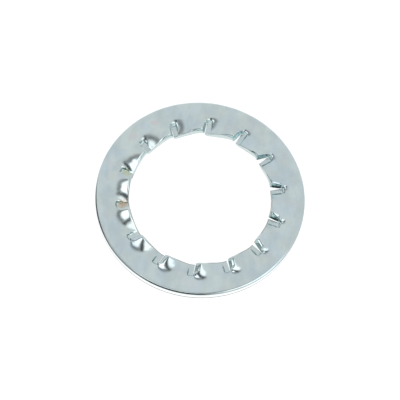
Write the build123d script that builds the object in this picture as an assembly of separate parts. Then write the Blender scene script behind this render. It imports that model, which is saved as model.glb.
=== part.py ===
from build123d import *
from math import cos, hypot, pi, radians, sin, tan
import os

# Sizes in millimetres and degrees. +Z is up, the middle of the washer is the
# origin and one slot lies on +Y.
OUTER_D = 38.0  # outside diameter of the ring
BORE_D = 25.7  # diameter through the tips of the teeth
THICKNESS = 1.5  # thickness of the strip
TEETH = 14  # teeth, with one slot between each two

SLOT_LENGTH = 2.25  # length of a slot, from the bore outwards
SLOT_WIDTH = 0.34  # width of a slot at its closed end
SLOT_TIP_WIDTH = 0.14  # width of a slot at the bore
SLOT_LEAN = 14.0  # lean of the slot walls at the bore

TIP_SET = 1.05  # rise or drop of a tooth at the bore, carried on to the slot middle
DOME_REACH = 1.4  # length of the raised dome beyond the slot
DOME_WIDTH = 3.1  # width of the raised dome at the bore
DOME_ROOT_WIDTH = 2.2  # width of the raised dome at its outer end
FOLD_WIDTH = 2.9  # width of the downward fold at the bore
FOLD_ROOT_WIDTH = 1.8  # width of the downward fold at its outer end
FOLD_REACH = 0.9  # length of the fold beyond the slot

PRESS_WIDTH = 1.0  # width of the flat mark struck beside a slot
PRESS_REACH = 0.08  # length of the mark beyond the slot
PRESS_DEPTH = 0.6  # depth of the mark at its outer end
PRESS_SLOPE = 8.0  # fall of the mark towards the bore
PRESS_TILT = 12.0  # fall of the mark towards the slot
PRESS_WALL = 40.0  # angle of the walls of the mark from upright

RIM_ROLL = 0.4  # reach inwards of the rolled upper outer edge
RIM_DROP = 0.25  # depth of the rolled upper outer edge
RIM_BREAK = 0.08  # broken lower outer edge

JOINT_GAP = 0.12  # flat strip between the teeth and the joint with the ring
BLANK_OVER = 0.05  # reach of a tooth's blank past the bore
CUT_OVER = 1.0  # reach of a cutter past what it cuts
MARGIN = 0.75  # share of the half slot left outside the smooth faces
RISE_POWER = 1.5  # how late a tooth rises on its way to the bore; 1 is evenly
SECTIONS = 7  # outlines along a tooth
PROFILE_POINTS = 7  # steps across a tooth
RIM_STEPS = 3  # bands round the rolled edge

HALF_PITCH = pi / TEETH
HALF_T = THICKNESS / 2
BORE_R = BORE_D / 2
SLOT_R = BORE_R + SLOT_LENGTH
DOME_R = SLOT_R + DOME_REACH
FOLD_R = SLOT_R + FOLD_REACH
JOINT_Y = max(DOME_R, FOLD_R) + JOINT_GAP
INNER_Y = (BORE_R - BLANK_OVER) * cos(HALF_PITCH)


def clamp(value):
    return max(0.0, min(1.0, value))


def bend(value):
    """Bent strip: flat at 0, rising ever more steeply to 1."""
    s = clamp(value)
    return s * s * (1.5 - 0.5 * s)


def inward(r, outer_r):
    """0 at outer_r, 1 at the bore."""
    return clamp((outer_r - r) / (outer_r - BORE_R))


def dome(d, r):
    """Rise of a raised corner, d from the slot middle."""
    reach = inward(r, DOME_R)
    width = DOME_ROOT_WIDTH + (DOME_WIDTH - DOME_ROOT_WIDTH) * reach
    return TIP_SET * reach**RISE_POWER * bend(1 - d / width)


def fold(d, r):
    """Drop of a lowered corner, d from the slot middle."""
    reach = inward(r, FOLD_R)
    width = FOLD_ROOT_WIDTH + (FOLD_WIDTH - FOLD_ROOT_WIDTH) * reach
    return TIP_SET * reach**RISE_POWER * bend(1 - d / width)


def slot_half(r, z):
    """Distance from the slot middle to the wall that faces upwards."""
    s = inward(r, SLOT_R)
    half = (SLOT_WIDTH + (SLOT_TIP_WIDTH - SLOT_WIDTH) * s) / 2
    return half + z * s * tan(radians(SLOT_LEAN))


def raised_top(d, r):
    return HALF_T + dome(d, r)


def lowered_top(d, r):
    return HALF_T - fold(d, r)


def margins(y):
    """Widths beside the slot middle that the slot takes, raised and lowered."""
    r = y / cos(HALF_PITCH)
    raised = MARGIN * slot_half(r, raised_top(0, r))
    lowered = MARGIN * slot_half(r, -lowered_top(0, r))
    return raised, lowered


def top_height(x, y):
    """Upper face of a tooth: raised towards +X, lowered towards -X."""
    half = y * tan(HALF_PITCH)
    r = hypot(x, y)
    return HALF_T + dome(half - x, r) - fold(half + x, r)


def top_points(y):
    """Points along the upper face at y, between its two margins."""
    half = y * tan(HALF_PITCH)
    raised, lowered = margins(y)
    start, end = lowered - half, half - raised
    steps = [start + (end - start) * i / PROFILE_POINTS for i in range(PROFILE_POINTS + 1)]
    return [Vector(x, y, top_height(x, y)) for x in steps]


def section(y):
    """Closed outline of a tooth across y; the lower face is the upper turned over."""
    half = y * tan(HALF_PITCH)
    top = top_points(y)
    bottom = [Vector(-p.X, p.Y, -p.Z) for p in top]
    right = [Vector(half, y, HALF_T), Vector(half, y, -HALF_T)]
    left = [Vector(-half, y, -HALF_T), Vector(-half, y, HALF_T)]
    return Wire(
        [
            Edge.make_spline(top),
            Edge.make_line(top[-1], right[0]),
            Edge.make_line(right[0], right[1]),
            Edge.make_line(right[1], bottom[0]),
            Edge.make_spline(bottom),
            Edge.make_line(bottom[-1], left[0]),
            Edge.make_line(left[0], left[1]),
            Edge.make_line(left[1], top[0]),
        ]
    )


def blank():
    """One tooth with its part of the root, before the slots, middle on +Y."""
    step = (JOINT_Y - INNER_Y) / (SECTIONS - 1)
    return Solid.make_loft([section(JOINT_Y - step * i) for i in range(SECTIONS)])


def wall_outline(y, r, side):
    """Outline across y of the space beyond the wall of a raised (-1) or lowered (1) corner."""
    tall = 2 * (THICKNESS + TIP_SET)
    return Wire.make_polygon(
        [
            (side * SLOT_WIDTH / 2, y, side * tall),
            (-side * CUT_OVER, y, side * tall),
            (-side * CUT_OVER, y, -side * tall),
            (side * slot_half(r, tall), y, -side * tall),
            (side * slot_half(r, 0), y, 0),
        ]
    )


def slot_side(side):
    """Cutter for one side of the slot on +Y: leaning wall and round end."""
    root = wall_outline(SLOT_R, SLOT_R, side)
    bore = wall_outline(BORE_R, BORE_R, side)
    inside = wall_outline(BORE_R - CUT_OVER, BORE_R, side)
    end = Pos(0, SLOT_R, 0) * Cylinder(SLOT_WIDTH / 2, 4 * (THICKNESS + TIP_SET))
    return [Solid.make_loft([root, bore], True), Solid.make_loft([bore, inside], True), end]


def press_outline(floor, height):
    """Outline of the punch at a height above its flat end."""
    grow = height * tan(radians(PRESS_WALL))
    length = PRESS_REACH + SLOT_LENGTH + CUT_OVER
    corners = [
        (-CUT_OVER, grow),
        (PRESS_WIDTH + grow, grow),
        (PRESS_WIDTH + grow, -length),
        (-CUT_OVER, -length),
    ]
    return Wire.make_polygon([floor.from_local_coords((x, y, height)) for x, y in corners])


def press_mark():
    """Punch for the flat mark beside the slot on +Y, in the upper face of the lowered corner."""
    across = Vector(1, 0, tan(radians(PRESS_TILT)))
    along = Vector(0, 1, tan(radians(PRESS_SLOPE)))
    floor = Plane((0, SLOT_R + PRESS_REACH, HALF_T - PRESS_DEPTH), across, across.cross(along))
    return Solid.make_loft([press_outline(floor, 0), press_outline(floor, THICKNESS)], True)


def ring():
    """Flat outer ring, its upper outer edge rolled over and its inner edge many-sided."""
    r = OUTER_D / 2
    turns = [pi / 2 * i / RIM_STEPS for i in range(RIM_STEPS + 1)]
    roll = [(r - RIM_ROLL * (1 - cos(a)), HALF_T - RIM_DROP * (1 - sin(a))) for a in turns]
    corners = [(0, -HALF_T), (r - RIM_BREAK, -HALF_T), (r, RIM_BREAK - HALF_T), *roll, (0, HALF_T)]
    profile = Plane.XZ * make_face(Polyline(*corners, close=True))
    hole = RegularPolygon(JOINT_Y, TEETH, major_radius=False, rotation=90)
    return revolve(profile, Axis.Z) - extrude(hole, THICKNESS, both=True)


def turned(shape, steps):
    """Shape turned about the axis of the washer by a number of teeth."""
    return shape.rotate(Axis.Z, 360 * steps / TEETH)


def tooth():
    """One tooth cut by the slots on both sides and by the bore."""
    raised = [turned(cutter, -0.5) for cutter in slot_side(-1)]
    lowered = [turned(cutter, 0.5) for cutter in slot_side(1)]
    bore = Cylinder(BORE_R, 4 * (THICKNESS + TIP_SET))
    upper_mark = turned(press_mark(), 0.5)
    lower_mark = turned(press_mark().rotate(Axis.Y, 180), -0.5)
    return blank().cut(*raised, *lowered, bore, upper_mark, lower_mark)


def washer():
    """Ring with the teeth set round it, one slot on +Y."""
    first = tooth()
    return ring().fuse(*[turned(first, i + 0.5) for i in range(TEETH)], glue=True)


lock_washer = washer()
os.makedirs("parts", exist_ok=True)
export_step(lock_washer, "parts/lock_washer.step")
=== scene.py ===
import math

import bmesh
import bpy
from mathutils import Matrix, Vector


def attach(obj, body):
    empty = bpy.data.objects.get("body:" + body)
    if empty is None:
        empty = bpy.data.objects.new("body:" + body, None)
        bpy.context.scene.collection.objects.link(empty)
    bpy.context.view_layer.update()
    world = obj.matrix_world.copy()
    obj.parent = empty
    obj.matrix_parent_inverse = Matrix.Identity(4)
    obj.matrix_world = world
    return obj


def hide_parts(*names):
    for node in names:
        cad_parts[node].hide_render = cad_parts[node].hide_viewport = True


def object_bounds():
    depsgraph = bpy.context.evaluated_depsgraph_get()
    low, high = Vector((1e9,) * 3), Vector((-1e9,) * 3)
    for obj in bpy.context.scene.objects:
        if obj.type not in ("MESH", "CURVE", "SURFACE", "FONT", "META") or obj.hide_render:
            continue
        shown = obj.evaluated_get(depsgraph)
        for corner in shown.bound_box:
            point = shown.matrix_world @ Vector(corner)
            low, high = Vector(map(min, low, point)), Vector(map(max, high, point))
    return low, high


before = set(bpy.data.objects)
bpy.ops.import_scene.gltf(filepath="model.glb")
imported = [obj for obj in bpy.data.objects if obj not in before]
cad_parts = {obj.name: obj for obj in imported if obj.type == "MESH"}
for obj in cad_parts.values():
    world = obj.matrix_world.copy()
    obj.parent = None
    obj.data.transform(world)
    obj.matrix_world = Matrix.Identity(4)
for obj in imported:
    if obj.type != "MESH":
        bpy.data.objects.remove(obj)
cad_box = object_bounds()

MM = 0.001
WASHER = "lock_washer"

# Camera: the washer is seen from 67 degrees above the floor, a little short of
# the middle of a slot, and the picture is turned slightly.
IMAGE_SIDE = 400
SENSOR_WIDTH = 36  # in millimetres, as Blender counts it
CLIP_START = 10 * MM
CAMERA_DISTANCE = 375 * MM
CAMERA_ELEVATION = math.radians(66.9)
CAMERA_AZIMUTH = math.radians(-91.2)
CAMERA_ROLL = math.radians(-6.55)
PIXELS_PER_MM = 5.5245
CENTRE_PIXEL = (200.12, 198.15)  # the middle of the washer in the picture

# Floor: its side in metres, its colour in light that it passes on, and the glow
# and the shaded colour that the eye and reflections see.
FLOOR_SIDE = 4.0
FLOOR_COLOUR = (0.9, 0.9, 0.9, 1)
FLOOR_GLOW = 0.86
FLOOR_SHADE = (0.34, 0.34, 0.34, 1)

# Washer, in millimetres and degrees: the forms of the CAD node, made finer.
OUTER_R = 19.0  # outside radius of the ring
ROUND_R = 17.0  # radius at which the grid passes from the teeth to the flat ring
BORE_R = 12.87  # radius through the tips of the teeth
HALF_T = 0.75  # half the thickness of the strip
TEETH = 14
HALF_PITCH = math.pi / TEETH

# Slots.
SLOT_R = 15.1  # radius of their outer ends
SLOT_WIDTH = 0.08  # width at the outer end
SLOT_TIP_WIDTH = 0.06  # width at the bore
SLOT_LEAN = math.tan(math.radians(15))  # lean of the walls
LEAN_START = 0.5  # length from the outer end over which lean and rounded edges begin
OPEN_R = 14.6  # radius at which the open slots begin to widen
# Added width at the bore of the open slots, numbered clockwise from 0 on +Y.
OPENINGS = {1: 0.3, 2: 0.65, 3: 0.4, 5: 0.35, 6: 0.12}
SKEW = 0.27  # sideways shift of a slot at the bore
SKEW_R = 16.0  # radius at which the shift begins
SKEW_POWER = 1.5  # how late the shift grows on its way to the bore; 1 is evenly

# Twist of the teeth.
TWIST = 0.224  # rise of a corner at the bore, without its swelling
TWIST_R = 18.1  # radius at which it begins
TWIST_BEND = 0.54  # how late it grows on its way to the bore; 1 is evenly
TWIST_START = 0.3  # share of that way over which it begins softly
SHEAR = 1.55  # width that the step between two corners gains for each millimetre past the slot
LOWERED = 0.9  # drop of a lowered corner for each millimetre that a raised one rises
ROLL = 0.7  # width of the rolled edge of a face at its raised corner
ROLL_DROP = 0.17  # depth of that rolled edge

# Swelling beside a slot.
BULGE = 0.721  # height
BULGE_R = 16.63  # radius at which it begins
BULGE_END = 4.0  # length from there over which it grows
BULGE_TIP_R = 12.68  # radius at which it has its share for the bore
BULGE_TIP = 0.68  # length from there to its full height
RAISED_TIP = 0.0  # share for the bore on a raised corner
LOWERED_TIP = 1.0  # share for the bore on a lowered corner
BULGE_CREST = 0.8  # distance of the crest from the slot middle
BULGE_FALL = 0.08  # share of the height lost from the crest to the slot middle
BULGE_SIDE = 3.33  # width at the bore
BULGE_SPREAD = 0.21  # added width for each millimetre outwards

# Flat mark struck beside a slot.
MARK_WIDTH = 1.05
MARK_REACH = 0.13  # length beyond the slot
MARK_DEPTH = 0.7  # depth at the end of the slot, in the middle of the width
MARK_SLOPE = math.tan(math.radians(4))  # fall towards the bore
MARK_TILT = math.tan(math.radians(4))  # fall towards the slot
MARK_WALL = 0.16  # width of its side wall
MARK_END = 0.55  # length of its end wall

# Edges.
EDGE = 0.04  # rounding of the slot edges
BORE_EDGE = 0.16  # rounding of the bore edges
RIM_ROLL = 0.38  # reach inwards of the rolled upper outer edge
RIM_DROP = 0.27  # depth of the rolled upper outer edge
RIM_SQUARE = 1.7  # form of that edge: 1 is round, 2 is a straight chamfer
RIM_BREAK = 0.08  # broken lower outer edge

# Grid of the mesh.
COLUMNS = 50  # steps across a tooth
CROWDING = 0.75  # how much closer they are beside the slots; 0 is evenly
TOOTH_ROWS = 38  # steps from the bore to ROUND_R
RING_ROWS = 8  # steps from there to the rolled edge
EDGE_STEPS = 4  # steps round the bore edge and round the end of a slot
WALL_STEPS = 6  # steps down a wall
RIM_STEPS = 8  # steps round the rolled edge
WELD = 0.0005  # points closer than this become one
SHARP_ANGLE = math.radians(40)

# Zinc plate: tints of its patches, with their places on the scale of the noise.
# The outer two stand first, because a new ramp has two stops.
STEEL = (0.72, 0.78, 0.80, 1)
STEEL_BLUE = (0.68, 0.765, 0.81, 1)
STEEL_GREEN = (0.74, 0.80, 0.785, 1)
PATCH_TINTS = ((0.36, STEEL_BLUE), (0.62, STEEL_GREEN), (0.5, STEEL))
STEEL_LILAC = (0.77, 0.78, 0.81, 1)
SPECK = (0.40, 0.46, 0.48, 1)

# Painted shade on steep faces (the cut walls of the slots and the bore, and the steps of the struck
# marks): a dark teal varied by noise, paler on the bore wall; and painted shade along the bore's near
# edge.
WALL_SHADE_DARK = (0.27, 0.41, 0.43, 1)
WALL_SHADE_PALE = (0.48, 0.60, 0.60, 1)
WALL_SHADE_TINTS = ((0.35, WALL_SHADE_DARK), (0.65, WALL_SHADE_PALE))
BORE_WALL_SHADE = (0.60, 0.68, 0.67, 1)
BORE_NEAR_SHADE = (0.40, 0.39, 0.36, 1)

# Outer wall: a painted highlight over its upper part, and painted shade in a dark band at its foot.
OUTER_WALL_HIGHLIGHT = (0.96, 0.98, 0.98, 1)
RIM_SHADE = (0.14, 0.16, 0.17, 1)
RIM_SHADE_TOP = -0.38

# Stains of the plate: number of the nearest slot, clockwise from 1 on +Y, distance
# clockwise from it, distance from the washer's middle, size and colour.
STAINS = {
    "tan": (11, 0.35, 14.0, 1.45, (0.66, 0.50, 0.36, 1)),
    "olive": (12, 0.45, 14.1, 1.25, (0.66, 0.70, 0.48, 1)),
    "salmon": (14, -2.7, 16.8, 0.7, (0.80, 0.74, 0.74, 1)),
    "rose": (13, 0.0, 17.0, 1.0, (0.77, 0.765, 0.77, 1)),
    "beige": (12, -1.2, 16.3, 1.2, (0.76, 0.80, 0.775, 1)),
}
STAIN_SHARE = 0.9  # share of its colour in the middle of a stain
STAIN_CORE = 0.55  # share of its size over which that holds
WOBBLE_MEAN = 0.5  # mean of the noise that bends its outline

# Noise over the plate: scale, detail, stretch along each axis, and a shift that
# keeps the patterns apart.
EVEN = (1, 1, 1)
NO_SHIFT = (0, 0, 0)
NOISES = {
    "patches": (0.32, 3, EVEN, NO_SHIFT),
    "lilac": (0.45, 2, EVEN, (7, 3, 0)),
    "streaks": (0.5, 3, (1, 0.6, 1), (2, 9, 0)),
    "wobble": (1.5, 2, EVEN, NO_SHIFT),
    "wall_shade": (1.1, 3, EVEN, (4, 1, 6)),
    "specks": (3.2, 2, EVEN, (3, 8, 0)),
    "grain": (2.2, 5, (1, 0.3, 1), NO_SHIFT),
    "gloss": (0.9, 3, EVEN, (1, 5, 2)),
}
BUMP_STRENGTH = 0.12
BUMP_HEIGHT = 0.02  # height of the grain in millimetres

# Smooth steps of the material: value from, value to, result there and there.
LILAC_SHARE = (0.55, 0.7, 0, 0.35)
STREAK_LEVEL = (0.3, 0.7, 0.945, 1.055)
SPECK_SHARE = (0.70, 0.76, 0, 0.45)
ROUGHNESS = (0.3, 0.7, 0.12, 0.18)
# This and the next two place the painted shade on steep faces inside the teeth, paler on the bore wall.
STEEP_SHADE = (0.5, 0.84, 1, 0)  # by how far a face looks up or down
TOOTH_ZONE = (ROUND_R - 0.2, ROUND_R, 1, 0)  # by radius, as the next three
BORE_ZONE = (BORE_R + 0.02, BORE_R + 0.1, 1, 0)
# Painted shade along the bore's near edge: placed by radius here, and by Y two lines down.
BORE_SHADE_ZONE = (BORE_R + 0.08, BORE_R + 0.24, 1, 0)
# Painted highlight and painted shade on the outer wall: placed by radius here, and the shade by Z two
# lines down.
OUTER_ZONE = (OUTER_R - 0.08, OUTER_R - 0.03, 0, 1)
NEAR_SHADE_SIDE = (-2, 6, 1, 0)  # by Y
RIM_SHADE_ZONE = (RIM_SHADE_TOP - 0.1, RIM_SHADE_TOP, 1, 0)  # by Z

# Studio light. A direction is given by its share towards +X, from -1 to 1, and
# by its angle from straight up, in degrees, positive away from the camera.
SKY_TINT = (0.93, 0.995, 1.0)
SKY_LEVEL = 0.74
# Panels in front of that sky, each over the ones before: X from, X to, angle
# from, angle to, softness in X, softness in angle, level.
PANELS = {
    "front": (-2, 2, -62, -38, 0.1, 8, 0.6),
    "low_front": (-2, 2, -150, -62, 0.1, 10, 1.1),
    "dim_band": (-0.7, 0.08, -9, 7, 0.16, 12, 0.24),
    "left_softbox": (-0.5, 0.05, -30, -7, 0.1, 8, 1.6),
    "right_softbox": (0.29, 0.8, -42, -8, 0.13, 9, 1.5),
    "right_low": (0.29, 0.5, -12, 4, 0.13, 9, 1.45),
    "dark_left": (0.09, 0.25, -12, 8, 0.08, 7, 0.04),
    "dark_right": (0.03, 0.25, -28, -9, 0.09, 6, 0.05),
    "rim_left": (-2, -0.5, -60, -24, 0.16, 8, 0.34),
    "rim_dark": (-0.52, 0.2, -58, -35, 0.18, 6, 0.03),
    "far_left": (-2, -0.84, -60, 60, 0.1, 10, 0.1),
}


def link(piece):
    """Put an object into the scene and return it."""
    bpy.context.scene.collection.objects.link(piece)
    return piece


def place_camera():
    """Camera aimed at the origin, with the origin at CENTRE_PIXEL of the picture."""
    level = math.cos(CAMERA_ELEVATION)
    towards = Vector(
        (level * math.cos(CAMERA_AZIMUTH), level * math.sin(CAMERA_AZIMUTH), math.sin(CAMERA_ELEVATION))
    )
    right = Vector((-math.sin(CAMERA_AZIMUTH), math.cos(CAMERA_AZIMUTH), 0))
    up = towards.cross(right)
    turn = Matrix.Rotation(-CAMERA_ROLL, 3, "Z")
    axes = Matrix((right, up, towards)).transposed() @ turn
    data = bpy.data.cameras.new("camera")
    data.sensor_width = SENSOR_WIDTH
    data.lens = data.sensor_width * PIXELS_PER_MM / MM * CAMERA_DISTANCE / IMAGE_SIDE
    data.shift_x = (IMAGE_SIDE / 2 - CENTRE_PIXEL[0]) / IMAGE_SIDE
    data.shift_y = (CENTRE_PIXEL[1] - IMAGE_SIDE / 2) / IMAGE_SIDE
    data.clip_start = CLIP_START
    camera = link(bpy.data.objects.new("camera", data))
    camera.matrix_world = Matrix.Translation(towards * CAMERA_DISTANCE) @ axes.to_4x4()
    bpy.context.scene.camera = camera


def node_maker(owner):
    """Function that adds nodes to the emptied tree of a material or a world."""
    owner.use_nodes = True
    tree = owner.node_tree
    tree.nodes.clear()

    def new(kind, inputs=(), **settings):
        """New node; inputs gives for a socket what is linked to it, or its plain value."""
        node = tree.nodes.new("ShaderNode" + kind)
        for name, value in settings.items():
            setattr(node, name, value)
        for socket, value in dict(inputs).items():
            if isinstance(value, bpy.types.NodeSocket):
                tree.links.new(value, node.inputs[socket])
            else:
                node.inputs[socket].default_value = value
        return node

    return new


def math_node(new, operation, *values):
    """Result of a Math node on one or two values."""
    return new("Math", dict(enumerate(values)), operation=operation).outputs[0]


def smooth_step(new, value, low, high, at_low, at_high):
    """at_low up to low, at_high from high on, and a smooth change between."""
    sockets = {"Value": value, "From Min": low, "From Max": high, "To Min": at_low, "To Max": at_high}
    return new("MapRange", sockets, interpolation_type="SMOOTHSTEP").outputs["Result"]


def floor_material():
    """White to the eye and to reflections, with a faint shadow; plain pale to other light."""
    material = bpy.data.materials.new("floor")
    new = node_maker(material)
    ray = new("LightPath").outputs
    seen = math_node(new, "MAXIMUM", ray["Is Camera Ray"], ray["Is Glossy Ray"])
    seen = math_node(new, "MAXIMUM", seen, ray["Is Transmission Ray"])
    plain = new("BsdfDiffuse", {"Color": FLOOR_COLOUR})
    shade = new("BsdfDiffuse", {"Color": FLOOR_SHADE})
    glow = new("Emission", {"Strength": FLOOR_GLOW})
    bright = new("AddShader", {0: shade.outputs[0], 1: glow.outputs[0]})
    mix = new("MixShader", {"Fac": seen, 1: plain.outputs[0], 2: bright.outputs[0]})
    new("OutputMaterial", {"Surface": mix.outputs[0]})
    return material


def lay_floor():
    """Plain pale floor under the lowest corners of the teeth."""
    bpy.ops.mesh.primitive_plane_add(size=FLOOR_SIDE, location=(0, 0, cad_box[0][2]))
    floor = bpy.context.object
    floor.name = "floor"
    floor.data.materials.append(floor_material())


def ramp(new, value, stops):
    """Colours at given values between 0 and 1."""
    node = new("ValToRGB", {"Fac": value})
    elements = node.color_ramp.elements
    for element, (at, colour) in zip(elements, stops[:2]):
        element.position, element.color = at, colour
    for at, colour in stops[2:]:
        elements.new(at).color = colour
    return node.outputs["Color"]


def mixed(new, share, a, b, blend="MIX"):
    """Colour a with a share of colour b."""
    return new("Mix", {0: share, 6: a, 7: b}, data_type="RGBA", blend_type=blend).outputs[2]


def stain_centre(slot, distance, radius):
    """Middle of a stain on the upper face."""
    turn = math.pi / 2 - 2 * HALF_PITCH * (slot - 1) - distance / radius
    return radius * math.cos(turn), radius * math.sin(turn), HALF_T


def plate_colour(new, grid, noise):
    """Tint of the plate: patches, lilac areas, streaks and stains."""
    colour = ramp(new, noise("patches"), PATCH_TINTS)
    lilac = smooth_step(new, noise("lilac"), *LILAC_SHARE)
    colour = mixed(new, lilac, colour, STEEL_LILAC)
    streaks = smooth_step(new, noise("streaks"), *STREAK_LEVEL)
    level = new("CombineColor", {0: streaks, 1: streaks, 2: streaks}).outputs[0]
    colour = mixed(new, 1.0, colour, level, "MULTIPLY")
    wobble = noise("wobble")
    for slot, distance, radius, size, tint in STAINS.values():
        centre = stain_centre(slot, distance, radius)
        away = new("VectorMath", {0: grid, 1: centre}, operation="DISTANCE").outputs["Value"]
        reach = math_node(new, "ADD", away, wobble)
        core, end = size * STAIN_CORE + WOBBLE_MEAN, size + WOBBLE_MEAN
        colour = mixed(new, smooth_step(new, reach, core, end, STAIN_SHARE, 0), colour, tint)
    return colour


def steel_material():
    """Bright zinc plate: patchy tint, fine lines, a few stains, painted shade on steep faces and along
    the bore's near edge, and a painted highlight and painted shade on the outer wall.
    """
    material = bpy.data.materials.new("zinc_plated_steel")
    new = node_maker(material)
    coordinates = new("TexCoord").outputs
    metres = coordinates["Object"]
    grid = new("VectorMath", {0: metres, "Scale": 1 / MM}, operation="SCALE").outputs[0]

    def noise(name):
        scale, detail, stretch, shift = NOISES[name]
        at = new("Mapping", {"Vector": grid, "Scale": stretch, "Location": shift}).outputs[0]
        return new("TexNoise", {"Vector": at, "Scale": scale, "Detail": detail}).outputs["Fac"]

    colour = plate_colour(new, grid, noise)
    axes = new("SeparateXYZ", {0: grid}).outputs
    flat = new("VectorMath", {0: grid, 1: (1, 1, 0)}, operation="MULTIPLY").outputs[0]
    radius = new("VectorMath", {0: flat}, operation="LENGTH").outputs["Value"]

    # Painted shade: steep faces inside the teeth take a dark teal varied by noise, paler on the bore
    # wall.
    facing = new("SeparateXYZ", {0: coordinates["Normal"]}).outputs["Z"]
    steep = smooth_step(new, math_node(new, "ABSOLUTE", facing), *STEEP_SHADE)
    wall_shade = math_node(new, "MULTIPLY", steep, smooth_step(new, radius, *TOOTH_ZONE))
    wall_shade_tint = ramp(new, noise("wall_shade"), WALL_SHADE_TINTS)
    wall_shade_tint = mixed(new, smooth_step(new, radius, *BORE_ZONE), wall_shade_tint, BORE_WALL_SHADE)
    colour = mixed(new, wall_shade, colour, wall_shade_tint)

    # Painted shade: a brownish dark line along the rounded bore edge on the near side, towards -Y.
    bore_shade_band = smooth_step(new, radius, *BORE_SHADE_ZONE)
    near = math_node(new, "MULTIPLY", bore_shade_band, smooth_step(new, axes["Y"], *NEAR_SHADE_SIDE))
    colour = mixed(new, near, colour, BORE_NEAR_SHADE)
    # Painted highlight on the outer wall, with painted shade in a dark band at its foot.
    rim_highlight_and_shade = mixed(new, smooth_step(new, axes["Z"], *RIM_SHADE_ZONE), OUTER_WALL_HIGHLIGHT, RIM_SHADE)
    colour = mixed(new, smooth_step(new, radius, *OUTER_ZONE), colour, rim_highlight_and_shade)
    colour = mixed(new, smooth_step(new, noise("specks"), *SPECK_SHARE), colour, SPECK)

    relief = {"Strength": BUMP_STRENGTH, "Distance": BUMP_HEIGHT * MM, "Height": noise("grain")}
    bump = new("Bump", relief).outputs[0]
    rough = smooth_step(new, noise("gloss"), *ROUGHNESS)
    finish = {"Metallic": 1.0, "Base Color": colour, "Normal": bump, "Roughness": rough}
    steel = new("BsdfPrincipled", finish)
    new("OutputMaterial", {"Surface": steel.outputs[0]})
    return material


def clamp(value):
    return max(0.0, min(1.0, value))


def smooth(value):
    s = clamp(value)
    return s * s * (3 - 2 * s)


def reach_in(r, outer_r):
    """0 at outer_r, 1 at the bore."""
    return clamp((outer_r - r) / (outer_r - BORE_R))


def bulge(d, r, tip):
    """Swelling beside a slot, d from its middle; tip is its share for the bore."""
    side = BULGE_SIDE + BULGE_SPREAD * (r - BORE_R)
    if d < BULGE_CREST:
        across = 1 - BULGE_FALL * (1 - d / BULGE_CREST) ** 2
    else:
        across = 1 - smooth((d - BULGE_CREST) / (side - BULGE_CREST))
    fade = tip + (1 - tip) * smooth((r - BULGE_TIP_R) / BULGE_TIP)
    return BULGE * smooth((BULGE_R - r) / BULGE_END) * fade * across


def lift(d, r, tip):
    """Height that a corner is turned out of the plane, d from the slot middle."""
    half = r * math.sin(HALF_PITCH)
    reach = reach_in(r, TWIST_R)
    twist = TWIST * reach**TWIST_BEND * smooth(reach / TWIST_START) * clamp(1 - d / half)
    shear = SHEAR * max(r - SLOT_R, 0)
    share = 1 if shear == 0 else d / math.hypot(d, shear)
    return (twist + bulge(d, r, tip)) * share


def press(d, r, z):
    """Height z, or that of the flat mark struck beside the slot where d and r lie in it."""
    floor = HALF_T - MARK_DEPTH + (r - SLOT_R) * MARK_SLOPE + (d - MARK_WIDTH / 2) * MARK_TILT
    beside = smooth(0.5 + (MARK_WIDTH - d) / MARK_WALL)
    inside = beside * smooth((SLOT_R + MARK_REACH - r) / MARK_END + 0.5)
    return z + (min(floor, z) - z) * inside


def edge_drop(distance, radius):
    """Fall of a face near its rounded edge."""
    x = radius - distance
    return 0.0 if x <= 0 else radius - math.sqrt(max(radius * radius - x * x, 0))


def top_height(angle, r):
    """Upper face of a tooth; angle is from its middle, clockwise towards the raised corner."""
    raised = r * math.sin(HALF_PITCH - angle)
    lowered = r * math.sin(HALF_PITCH + angle)
    z = HALF_T + lift(raised, r, RAISED_TIP) - LOWERED * lift(lowered, r, LOWERED_TIP)
    return press(lowered, r, z)


def slot_half(r, z, opening):
    """Distance from the slot middle to the wall that faces upwards, at height z."""
    half = (SLOT_WIDTH + (SLOT_TIP_WIDTH - SLOT_WIDTH) * reach_in(r, SLOT_R)) / 2
    near = clamp((SLOT_R - r) / half)
    half = half * math.sqrt(near * (2 - near)) + opening / 2 * reach_in(r, OPEN_R)
    return half + z * smooth((SLOT_R - r) / LEAN_START) * SLOT_LEAN


def rows():
    """Radii of the grid, finer at the bore and round the slots' ends."""
    turns = [math.pi / 2 * i / EDGE_STEPS for i in range(EDGE_STEPS + 1)]
    bore = [BORE_R + BORE_EDGE * (1 - math.cos(turn)) for turn in turns[:-1]]
    start = BORE_R + BORE_EDGE
    tooth = [start + (ROUND_R - start) * i / TOOTH_ROWS for i in range(TOOTH_ROWS)]
    slot_end = [SLOT_R - SLOT_WIDTH / 2 * (1 - math.sin(turn)) for turn in turns]
    end = OUTER_R - RIM_ROLL
    flat = [ROUND_R + (end - ROUND_R) * i / RING_ROWS for i in range(RING_ROWS + 1)]
    return sorted(set(bore + tooth + slot_end + flat))


def spread(i, count):
    """Share of the way across a tooth at step i, with the steps closer together at both ends."""
    s = i / count
    return s - CROWDING * math.sin(2 * math.pi * s) / (2 * math.pi)


def place(angle, r, z, tooth):
    """Point of a tooth, whose slots lean a little from the radius towards the bore."""
    skew = SKEW * reach_in(r, SKEW_R) ** SKEW_POWER / r
    turn = math.pi / 2 - angle + skew - 2 * HALF_PITCH * (tooth + 0.5)
    return Vector((r * math.cos(turn), r * math.sin(turn), z)) * MM


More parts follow.
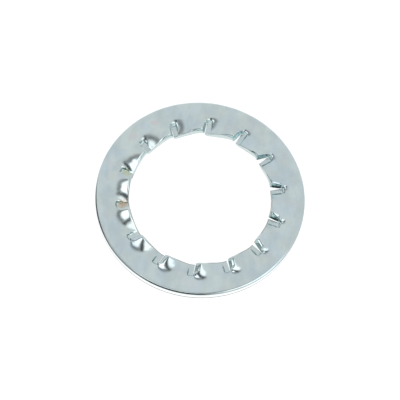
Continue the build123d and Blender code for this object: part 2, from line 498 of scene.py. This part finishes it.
def limits(r, upper, tooth):
    """First and last angle of a tooth's face at r, beside its two slots."""
    if r >= SLOT_R:
        return -HALF_PITCH, HALF_PITCH
    lowered_z = top_height(-HALF_PITCH, r)
    raised_z = top_height(HALF_PITCH, r)
    if not upper:
        lowered_z, raised_z = -raised_z, -lowered_z
    low = slot_half(r, -lowered_z, OPENINGS.get(tooth, 0)) / r
    high = slot_half(r, raised_z, OPENINGS.get((tooth + 1) % TEETH, 0)) / r
    return low - HALF_PITCH, HALF_PITCH - high


def face_point(i, r, upper, tooth):
    """Corner i of the grid across a tooth, on its upper or lower face."""
    first, last = limits(r, upper, tooth)
    angle = first + (last - first) * spread(i, COLUMNS)
    z = top_height(angle, r) if upper else top_height(-angle, r)
    z -= edge_drop(r - BORE_R, BORE_EDGE)
    to_lowered, to_raised = r * (angle - first), r * (last - angle)
    if not upper:
        to_lowered, to_raised = to_raised, to_lowered
    opened = smooth((SLOT_R - r) / LEAN_START)
    z -= edge_drop(min(to_lowered, to_raised), EDGE) * opened
    z -= ROLL_DROP * clamp(1 - to_raised / ROLL) ** 2 * opened
    return place(angle, r, z if upper else -z, tooth)


def rim_points(i, tooth):
    """Points down the rolled outer edge, from the upper face to the lower."""
    angle = -HALF_PITCH + 2 * HALF_PITCH * spread(i, COLUMNS)
    path = []
    for k in range(1, RIM_STEPS + 1):
        turn = math.pi / 2 * k / RIM_STEPS
        across = math.sin(turn) ** RIM_SQUARE
        down = math.cos(turn) ** RIM_SQUARE
        path.append((OUTER_R - RIM_ROLL * (1 - across), HALF_T - RIM_DROP * (1 - down)))
    path += [(OUTER_R, RIM_BREAK - HALF_T), (OUTER_R - RIM_BREAK, -HALF_T)]
    return [place(angle, r, z, tooth) for r, z in path]


def section(i, upper, lower, rim):
    """Closed loop of points round the tooth at column i: bore wall, upper face, rim, lower face."""
    top, bottom = upper[0][i], lower[0][i]
    wall = [bottom.lerp(top, k / WALL_STEPS) for k in range(1, WALL_STEPS)]
    out = [row[i] for row in upper]
    back = [row[i] for row in reversed(lower)]
    return wall + out + rim[i] + back


def tooth_grid(bm, tooth):
    """Faces of one tooth and its part of the ring.

    Past the end of a slot the step at the struck mark has no wall, so the mesh
    is open there.
    """
    radii = rows()
    count = COLUMNS + 1
    upper = [[face_point(i, r, True, tooth) for i in range(count)] for r in radii]
    lower = [[face_point(i, r, False, tooth) for i in range(count)] for r in radii]
    rim = [rim_points(i, tooth) for i in range(count)]
    made = [[bm.verts.new(p) for p in section(i, upper, lower, rim)] for i in range(count)]
    for a, b in zip(made, made[1:]):
        for k in range(len(a)):
            n = (k + 1) % len(a)
            bm.faces.new((a[k], a[n], b[n], b[k]))
    inside = [k for k, r in enumerate(radii) if r <= SLOT_R]
    for i, turn in ((0, 1), (COLUMNS, -1)):
        slot_wall(bm, [(lower[k][i], upper[k][i]) for k in inside], turn)


def slot_wall(bm, edges, turn):
    """Wall of a slot between its lower and upper edge; turn is -1 to face the other way."""
    strips = []
    for bottom, top in edges:
        strips.append([bm.verts.new(bottom.lerp(top, j / WALL_STEPS)) for j in range(WALL_STEPS + 1)])
    for a, b in zip(strips, strips[1:]):
        for j in range(WALL_STEPS):
            bm.faces.new((a[j], b[j], b[j + 1], a[j + 1])[::turn])


def washer():
    """Mesh of the whole washer, in place of the CAD node."""
    bm = bmesh.new()
    for tooth in range(TEETH):
        tooth_grid(bm, tooth)
    bmesh.ops.remove_doubles(bm, verts=bm.verts, dist=WELD * MM)
    bmesh.ops.recalc_face_normals(bm, faces=bm.faces)
    for face in bm.faces:
        face.smooth = True
    mesh = bpy.data.meshes.new("washer")
    bm.to_mesh(mesh)
    bm.free()
    mesh.set_sharp_from_angle(angle=SHARP_ANGLE)
    piece = link(bpy.data.objects.new("washer", mesh))
    piece.data.materials.append(steel_material())
    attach(piece, "root")
    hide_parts(WASHER)


def window(new, value, low, high, soft):
    """1 between low and high and 0 outside, with a smooth change of width soft at each."""
    rise = smooth_step(new, value, low - soft / 2, low + soft / 2, 0, 1)
    fall = smooth_step(new, value, high - soft / 2, high + soft / 2, 1, 0)
    return math_node(new, "MULTIPLY", rise, fall)


def light_world():
    """Sky with the panels in front of it."""
    world = bpy.data.worlds.new("studio")
    bpy.context.scene.world = world
    new = node_maker(world)
    direction = new("TexCoord").outputs["Generated"]
    axes = new("SeparateXYZ", {0: direction}).outputs
    degrees = math_node(new, "DEGREES", math_node(new, "ARCTAN2", axes["Y"], axes["Z"]))
    level = SKY_LEVEL
    for x_from, x_to, angle_from, angle_to, soft_x, soft_angle, strength in PANELS.values():
        across = window(new, axes["X"], x_from, x_to, soft_x)
        along = window(new, degrees, angle_from, angle_to, soft_angle)
        share = math_node(new, "MULTIPLY", across, along)
        level = new("Mix", {"Factor": share, "A": level, "B": strength}).outputs["Result"]
    sky = new("Background", {"Color": (*SKY_TINT, 1), "Strength": level})
    new("OutputWorld", {"Surface": sky.outputs[0]})


lay_floor()
light_world()
washer()
place_camera()
bpy.context.scene.view_settings.view_transform = "Standard"
